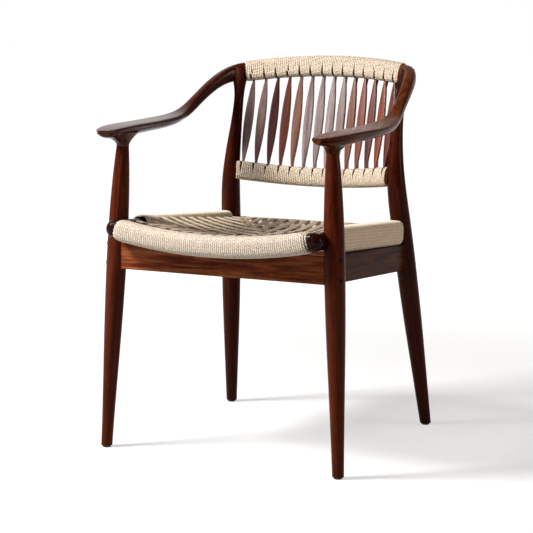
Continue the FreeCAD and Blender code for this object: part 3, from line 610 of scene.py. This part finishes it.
def wind(name, node, line, width, depth, power, end_round, end_share=wrap_end_share, creases=(),
         cord=wound_cord):
    """Winds one cord from end to end of a rail: a helix on its rounded section, one cord's width for each
    turn, drawn in over the last stretch at both ends, and pushed apart to a cleft where a slat enters."""
    middles = line(np.linspace(0, 1, length_samples))[0]
    length = np.linalg.norm(np.diff(middles, axis=0), axis=1).sum()
    turns = round(length / cord_diameter)
    around = 2 * (width + depth) * outline_share
    count = turns * round(around / bead_length * bead_samples)
    turn = np.linspace(0, turns, count)
    share = turn / turns
    centre, along, side, up = line(share)
    c, s = np.cos(2 * np.pi * turn), np.sin(2 * np.pi * turn)
    reach = (np.abs(c) ** power + np.abs(s) ** power) ** (-1 / power)
    gap = np.minimum(share, 1 - share) * length
    inside = np.clip(1 - gap / end_round, 0, 1)
    drawn = end_share + (1 - end_share) * np.sqrt(1 - inside ** 2)
    x, y = c * reach, s * reach
    normal = side * (np.sign(x) * np.abs(x) ** (power - 1) / width)[:, None]
    normal = normal + up * (np.sign(y) * np.abs(y) ** (power - 1) / depth)[:, None]
    normal = normal / np.linalg.norm(normal, axis=1, keepdims=True)
    path = centre + side * (x * drawn * width / 2)[:, None] + up * (y * drawn * depth / 2)[:, None]
    for place, direction in creases:
        beside = path[:, 0] - place
        opening = crease_gap * np.clip(0.3 - direction * y, 0, 1.2) * np.exp(-np.abs(beside) / crease_reach)
        path = path + along * (np.sign(beside) * opening)[:, None]
    hand = np.where(turn.astype(int) % 2, 1, -1)
    radius = cord_overlap * cord_diameter / 2
    points, strand = twisted_cord(path, normal * cord_flatness, along, radius, 0.0, hand)
    add_piece(name, points[None], cord, "cord", [node], strand=strand[None])


cover = cord_diameter
round_power = 3
front_rail_size = 34 * mm
front_rail_half = 218.2 * mm
front_rail_dip = 22.7 * mm
front_rail_end_height = 449 * mm
front_wrap_gap = 1.5 * mm
front_end_round = 15 * mm
front_end_share = 0.66
low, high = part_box("front_rail_wrap")
front_line = bowed_line(front_rail_half, (low.y + high.y) / 2, front_rail_end_height, 0, -front_rail_dip, 0,
                        high.x - front_wrap_gap)
wind("wound_front_rail", "front_rail_wrap", front_line, front_rail_size + cover, front_rail_size + cover,
     round_power, front_end_round, front_end_share)

rear_rail_size = 30 * mm
rear_end_round = 6 * mm
low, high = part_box("rear_rail_wrap")
middle_y = (low.y + high.y) / 2
middle_z = (low.z + high.z) / 2
rear_line = straight_line((low.x, middle_y, middle_z), (high.x, middle_y, middle_z))
wind("wound_rear_rail", "rear_rail_wrap", rear_line, rear_rail_size + cover, rear_rail_size + cover,
     round_power, rear_end_round)

side_rail_width = 32 * mm
side_rail_depth = 43 * mm
side_rail_power = 4
side_end_round = 8 * mm
nose = np.array((218.2, -270.15, 449)) * mm
side_rear = np.array((199, 186.4, 417.5)) * mm
for side, sign in (("left", -1), ("right", 1)):
    low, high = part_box("side_rail_wrap_" + side)
    mirror = np.array((sign, 1, 1))
    first = nose + (side_rear - nose) * (low.y - nose[1]) / (side_rear[1] - nose[1])
    last = nose + (side_rear - nose) * (high.y - nose[1]) / (side_rear[1] - nose[1])
    line = straight_line(first * mirror, last * mirror)
    wind("wound_side_rail_" + side, "side_rail_wrap_" + side, line,
         side_rail_width + cover, side_rail_depth + cover, side_rail_power, side_end_round)

back_lean = 57 / 206
back_end_round = 4 * mm
crest_rail_width = 20 * mm
crest_rail_depth = 37 * mm
crest_wrap_gap = 6 * mm
lower_rail_width = 18 * mm
lower_rail_depth = 33 * mm
lower_wrap_gap = 1 * mm
for name, node, half, end, swell, width, depth, way, gap in (
    ("wound_crest_rail", "crest_wrap", crest_half, crest_end, crest_swell,
     crest_rail_width, crest_rail_depth, 1, crest_wrap_gap),
    ("wound_lower_rail", "lower_back_wrap", lower_half, lower_end, lower_swell,
     lower_rail_width, lower_rail_depth, -1, lower_wrap_gap),
):
    low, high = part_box(node)
    line = bowed_line(half, end[0], end[1], swell[0], swell[1], back_lean, high.x - gap)
    clefts = [(x, way) for x in slat_middles]
    wind(name, node, line, width + cover, depth + cover, round_power, back_end_round, creases=clefts,
         cord=back_cord_painted_shade)


# Cord seat: flat strips of three cords each, drawn tight from rail to rail in both directions.
# Strips lie on top in their own two fields of the seat and dive under along the two diagonals.
# The lower layer's colour darkens with its depth, as painted shade between the upper strips, and all seat
# cord has darker colours than the rails' cord, also painted shade.

lengthwise_count = 14
crosswise_count = 10
strip_cords = 3
strip_width = 14 * mm
strip_cord = 4.8 * mm
strip_flatness = 0.65
strip_samples = 300
twist_shift = 0.618
layer_lift = 2.8 * mm
under_drop = 12 * mm
under_shade = 1.1
seat_cord_painted_shade = paper_cord("twisted_paper_cord_seat_painted_shade", "#33261b", "#5e4935", "#bda68c", "#d4c1ab")
seat_front = -232.85 * mm
seat_rear = 168.35 * mm
seat_front_z = 466 * mm
seat_rear_z = 427 * mm
seat_sag = 18 * mm
sag_power = 2.4
tuck = 14 * mm
side_inset = 20 * mm
wrap_start = -166.15 * mm


def seat_half_width(y):
    """Half the open seat's width, between the wrapped side rails, which run closer together to the back."""
    return nose[0] + (side_rear[0] - nose[0]) * (y - nose[1]) / (side_rear[1] - nose[1]) - side_inset


def seat_height(x, y):
    """The seat's middle layer: it slopes from the front rail to the rear one, follows the front rail's dip
    and sags between the rails as (1 - |a|^p)(1 - |b|^p)."""
    back = (y - seat_front) / (seat_rear - seat_front)
    across = np.clip(x / seat_half_width(y), -1, 1)
    dip = front_rail_dip * (1 - back) * (1 - across ** 2)
    hollow = np.clip(1 - np.abs(across) ** sag_power, 0, 1)
    hollow = hollow * np.clip(1 - np.abs(2 * back - 1) ** sag_power, 0, 1)
    return seat_front_z + (seat_rear_z - seat_front_z) * back - dip - seat_sag * hollow


def eased(x, places, values):
    """Reads a table with soft steps: between two places the value changes as 3t^2 - 2t^3."""
    i = np.clip(np.searchsorted(places, x) - 1, 0, len(places) - 2)
    t = np.clip((x - places[i]) / (places[i + 1] - places[i]), 0, 1)
    return values[i] + (values[i + 1] - values[i]) * t * t * (3 - 2 * t)


half = seat_half_width(seat_rear)
strip_xs = -half + 2 * half * (np.arange(lengthwise_count) + 0.5) / lengthwise_count
strip_ys = wrap_start + (seat_rear - wrap_start) * (np.arange(crosswise_count) + 0.5) / crosswise_count
from_side = np.minimum(np.arange(lengthwise_count), np.arange(lengthwise_count)[::-1]) / lengthwise_count
from_end = np.minimum(np.arange(crosswise_count), np.arange(crosswise_count)[::-1]) / crosswise_count
across_on_top = from_side[:, None] <= from_end[None, :]
cord_offsets = (np.arange(strip_cords) - (strip_cords - 1) / 2) * strip_width / strip_cords


def seat_strips(name, node, places, crossings, starts, ends, on_top, crosswise):
    """All strips of one direction: each cord's middle line is a straight line over the seat's middle layer,
    lifted or lowered at each crossing, with the twisted section carried along it."""
    share = np.linspace(0, 1, strip_samples)
    lines = []
    depths = []
    for place, start, end, top in zip(places, starts, ends, on_top):
        run = start + (end - start) * share
        marks = np.concatenate(([start], crossings, [end]))
        layers = np.concatenate(([layer_lift], np.where(top, layer_lift, -under_drop), [layer_lift]))
        lift = eased(run, marks, layers)
        for offset in cord_offsets:
            still = np.full_like(run, place + offset)
            x, y = (run, still) if crosswise else (still, run)
            lines.append(np.stack((x, y, seat_height(x, y) + lift), axis=-1))
            depths.append((layer_lift - lift) / (layer_lift + under_drop))
    path = np.array(lines)
    up = np.broadcast_to((0.0, 0.0, 1.0), path.shape)
    sideways = np.broadcast_to((0.0, 1.0, 0.0) if crosswise else (1.0, 0.0, 0.0), path.shape)
    start = np.arange(len(lines))[:, None] * twist_shift
    points, strand = twisted_cord(path, up * strip_flatness, sideways, strip_cord / 2, start)
    # Painted shade: the colour value drops the deeper a cord lies under the upper layer.
    tone = strand - under_shade * np.array(depths)[..., None]
    add_piece(name, points, seat_cord_painted_shade, "cord", [node], strand=tone)


reach = seat_half_width(strip_ys) + tuck
seat_strips("cord_strips_across", "seat_strips_across", strip_ys, strip_xs, -reach, reach,
            across_on_top.T, True)
front_ends = np.full(lengthwise_count, seat_front - tuck)
rear_ends = np.full(lengthwise_count, seat_rear + tuck)
seat_strips("cord_strips_lengthwise", "seat_strips_lengthwise", strip_xs, strip_ys, front_ends, rear_ends,
            ~across_on_top, False)


# Studio: a white seamless floor in front of a white backdrop, a soft key lamp high on the left, a weak one
# lower in front on the left and a warm fill on the right. Floor and backdrop are white where they are seen,
# and the floor keeps the chair's shadow.

floor_size = 30.0
floor_colour = "#acacab"
near_glow = 0.56
glow_start = 0.8
glow_end = 2.4
white = (1.0, 1.0, 1.0, 1.0)
backdrop_way = (-0.468, 0.883, 0.0)
backdrop_start = 0.35
backdrop_end = 0.85
room_level = 0.08


def seen_rays(tree):
    """One for rays from the camera and for mirrored and refracted ones, zero for the rest."""
    path = add(tree, "ShaderNodeLightPath")
    both = add(tree, "ShaderNodeMath", links=[(0, path, "Is Camera Ray"), (1, path, "Is Glossy Ray")],
               operation="ADD")
    return add(tree, "ShaderNodeMath", links=[(0, both, 0), (1, path, "Is Transmission Ray")],
               operation="ADD", use_clamp=True)


def studio_floor(name):
    """Matt paper that takes the shadow, with a white glow where it is seen, which grows with distance."""
    material, tree = new_material(name)
    place = add(tree, "ShaderNodeTexCoord")
    distance = add(tree, "ShaderNodeVectorMath", links=[(0, place, "Object")], operation="LENGTH")
    glow = add(tree, "ShaderNodeMapRange",
               [("From Min", glow_start), ("From Max", glow_end), ("To Min", near_glow), ("To Max", 1.0)],
               [("Value", distance, "Value")], interpolation_type="SMOOTHSTEP")
    seen = add(tree, "ShaderNodeMath", links=[(0, glow, 0), (1, seen_rays(tree), 0)], operation="MULTIPLY")
    paper = add(tree, "ShaderNodeBsdfDiffuse", [("Color", linear(floor_colour))])
    light = add(tree, "ShaderNodeEmission", [("Color", white)], [("Strength", seen, 0)])
    both = add(tree, "ShaderNodeAddShader", links=[(0, paper, 0), (1, light, 0)])
    add(tree, "ShaderNodeOutputMaterial", links=[("Surface", both, 0)])
    return material


floor_mesh = bpy.data.meshes.new("floor")
corners = [(-floor_size, -floor_size, 0), (floor_size, -floor_size, 0),
           (floor_size, floor_size, 0), (-floor_size, floor_size, 0)]
floor_mesh.from_pydata(corners, [], [(0, 1, 2, 3)])
floor_mesh.materials.append(studio_floor("white_paper_floor"))
floor = bpy.data.objects.new("floor", floor_mesh)
bpy.context.scene.collection.objects.link(floor)
floor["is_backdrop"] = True

world = bpy.data.worlds.new("studio")
world.use_nodes = True
world.node_tree.nodes.clear()
way = add(world.node_tree, "ShaderNodeTexCoord")
facing = add(world.node_tree, "ShaderNodeVectorMath", [(1, backdrop_way)], [(0, way, "Generated")],
             operation="DOT_PRODUCT")
level = add(world.node_tree, "ShaderNodeMapRange",
            [("From Min", backdrop_start), ("From Max", backdrop_end), ("To Min", room_level),
             ("To Max", 1.0)],
            [("Value", facing, "Value")], interpolation_type="SMOOTHSTEP")
strength = add(world.node_tree, "ShaderNodeMix", [(2, room_level)],
               [(0, seen_rays(world.node_tree), 0), (3, level, 0)], data_type="FLOAT")
sky = add(world.node_tree, "ShaderNodeBackground", [("Color", white)], [("Strength", strength, 0)])
add(world.node_tree, "ShaderNodeOutputWorld", links=[("Surface", sky, 0)])
bpy.context.scene.world = world


def soft_lamp(name, place, target, size, power, colour="#ffffff"):
    """A square lamp of a size in metres and a power in watts, turned to its target."""
    lamp = bpy.data.lights.new(name, "AREA")
    lamp.shape = "SQUARE"
    lamp.size = size
    lamp.energy = power
    lamp.color = linear(colour)[:3]
    holder = bpy.data.objects.new(name, lamp)
    holder.location = place
    aim = Vector(target) - Vector(place)
    holder.rotation_euler = aim.to_track_quat("-Z", "Y").to_euler()
    bpy.context.scene.collection.objects.link(holder)


soft_lamp("key_lamp", place=(-1.5, -1.3, 2.25), target=(0.0, 0.0, 0.4), size=0.65, power=145.0)
soft_lamp("front_lamp", place=(-1.2, -2.25, 1.35), target=(0.0, 0.1, 0.6), size=1.1, power=8.0)
soft_lamp("right_fill", place=(2.9, 0.6, 1.3), target=(0.0, 0.0, 0.5), size=1.0, power=30.0, colour="#ffe9d6")

sensor_width = 36.0
focal_length = 114.233
camera_place = (1.58584, -3.02108, 0.85379)
camera_tilt = math.radians(81.68626)
camera_heading = math.radians(27.93786)
camera = bpy.data.cameras.new("camera")
camera.sensor_width = sensor_width
camera.lens = focal_length
eye = bpy.data.objects.new("camera", camera)
eye.location = camera_place
eye.rotation_euler = (camera_tilt, 0, camera_heading)
bpy.context.scene.collection.objects.link(eye)
bpy.context.scene.camera = eye
bpy.context.scene.view_settings.view_transform = "Standard"

low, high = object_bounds()
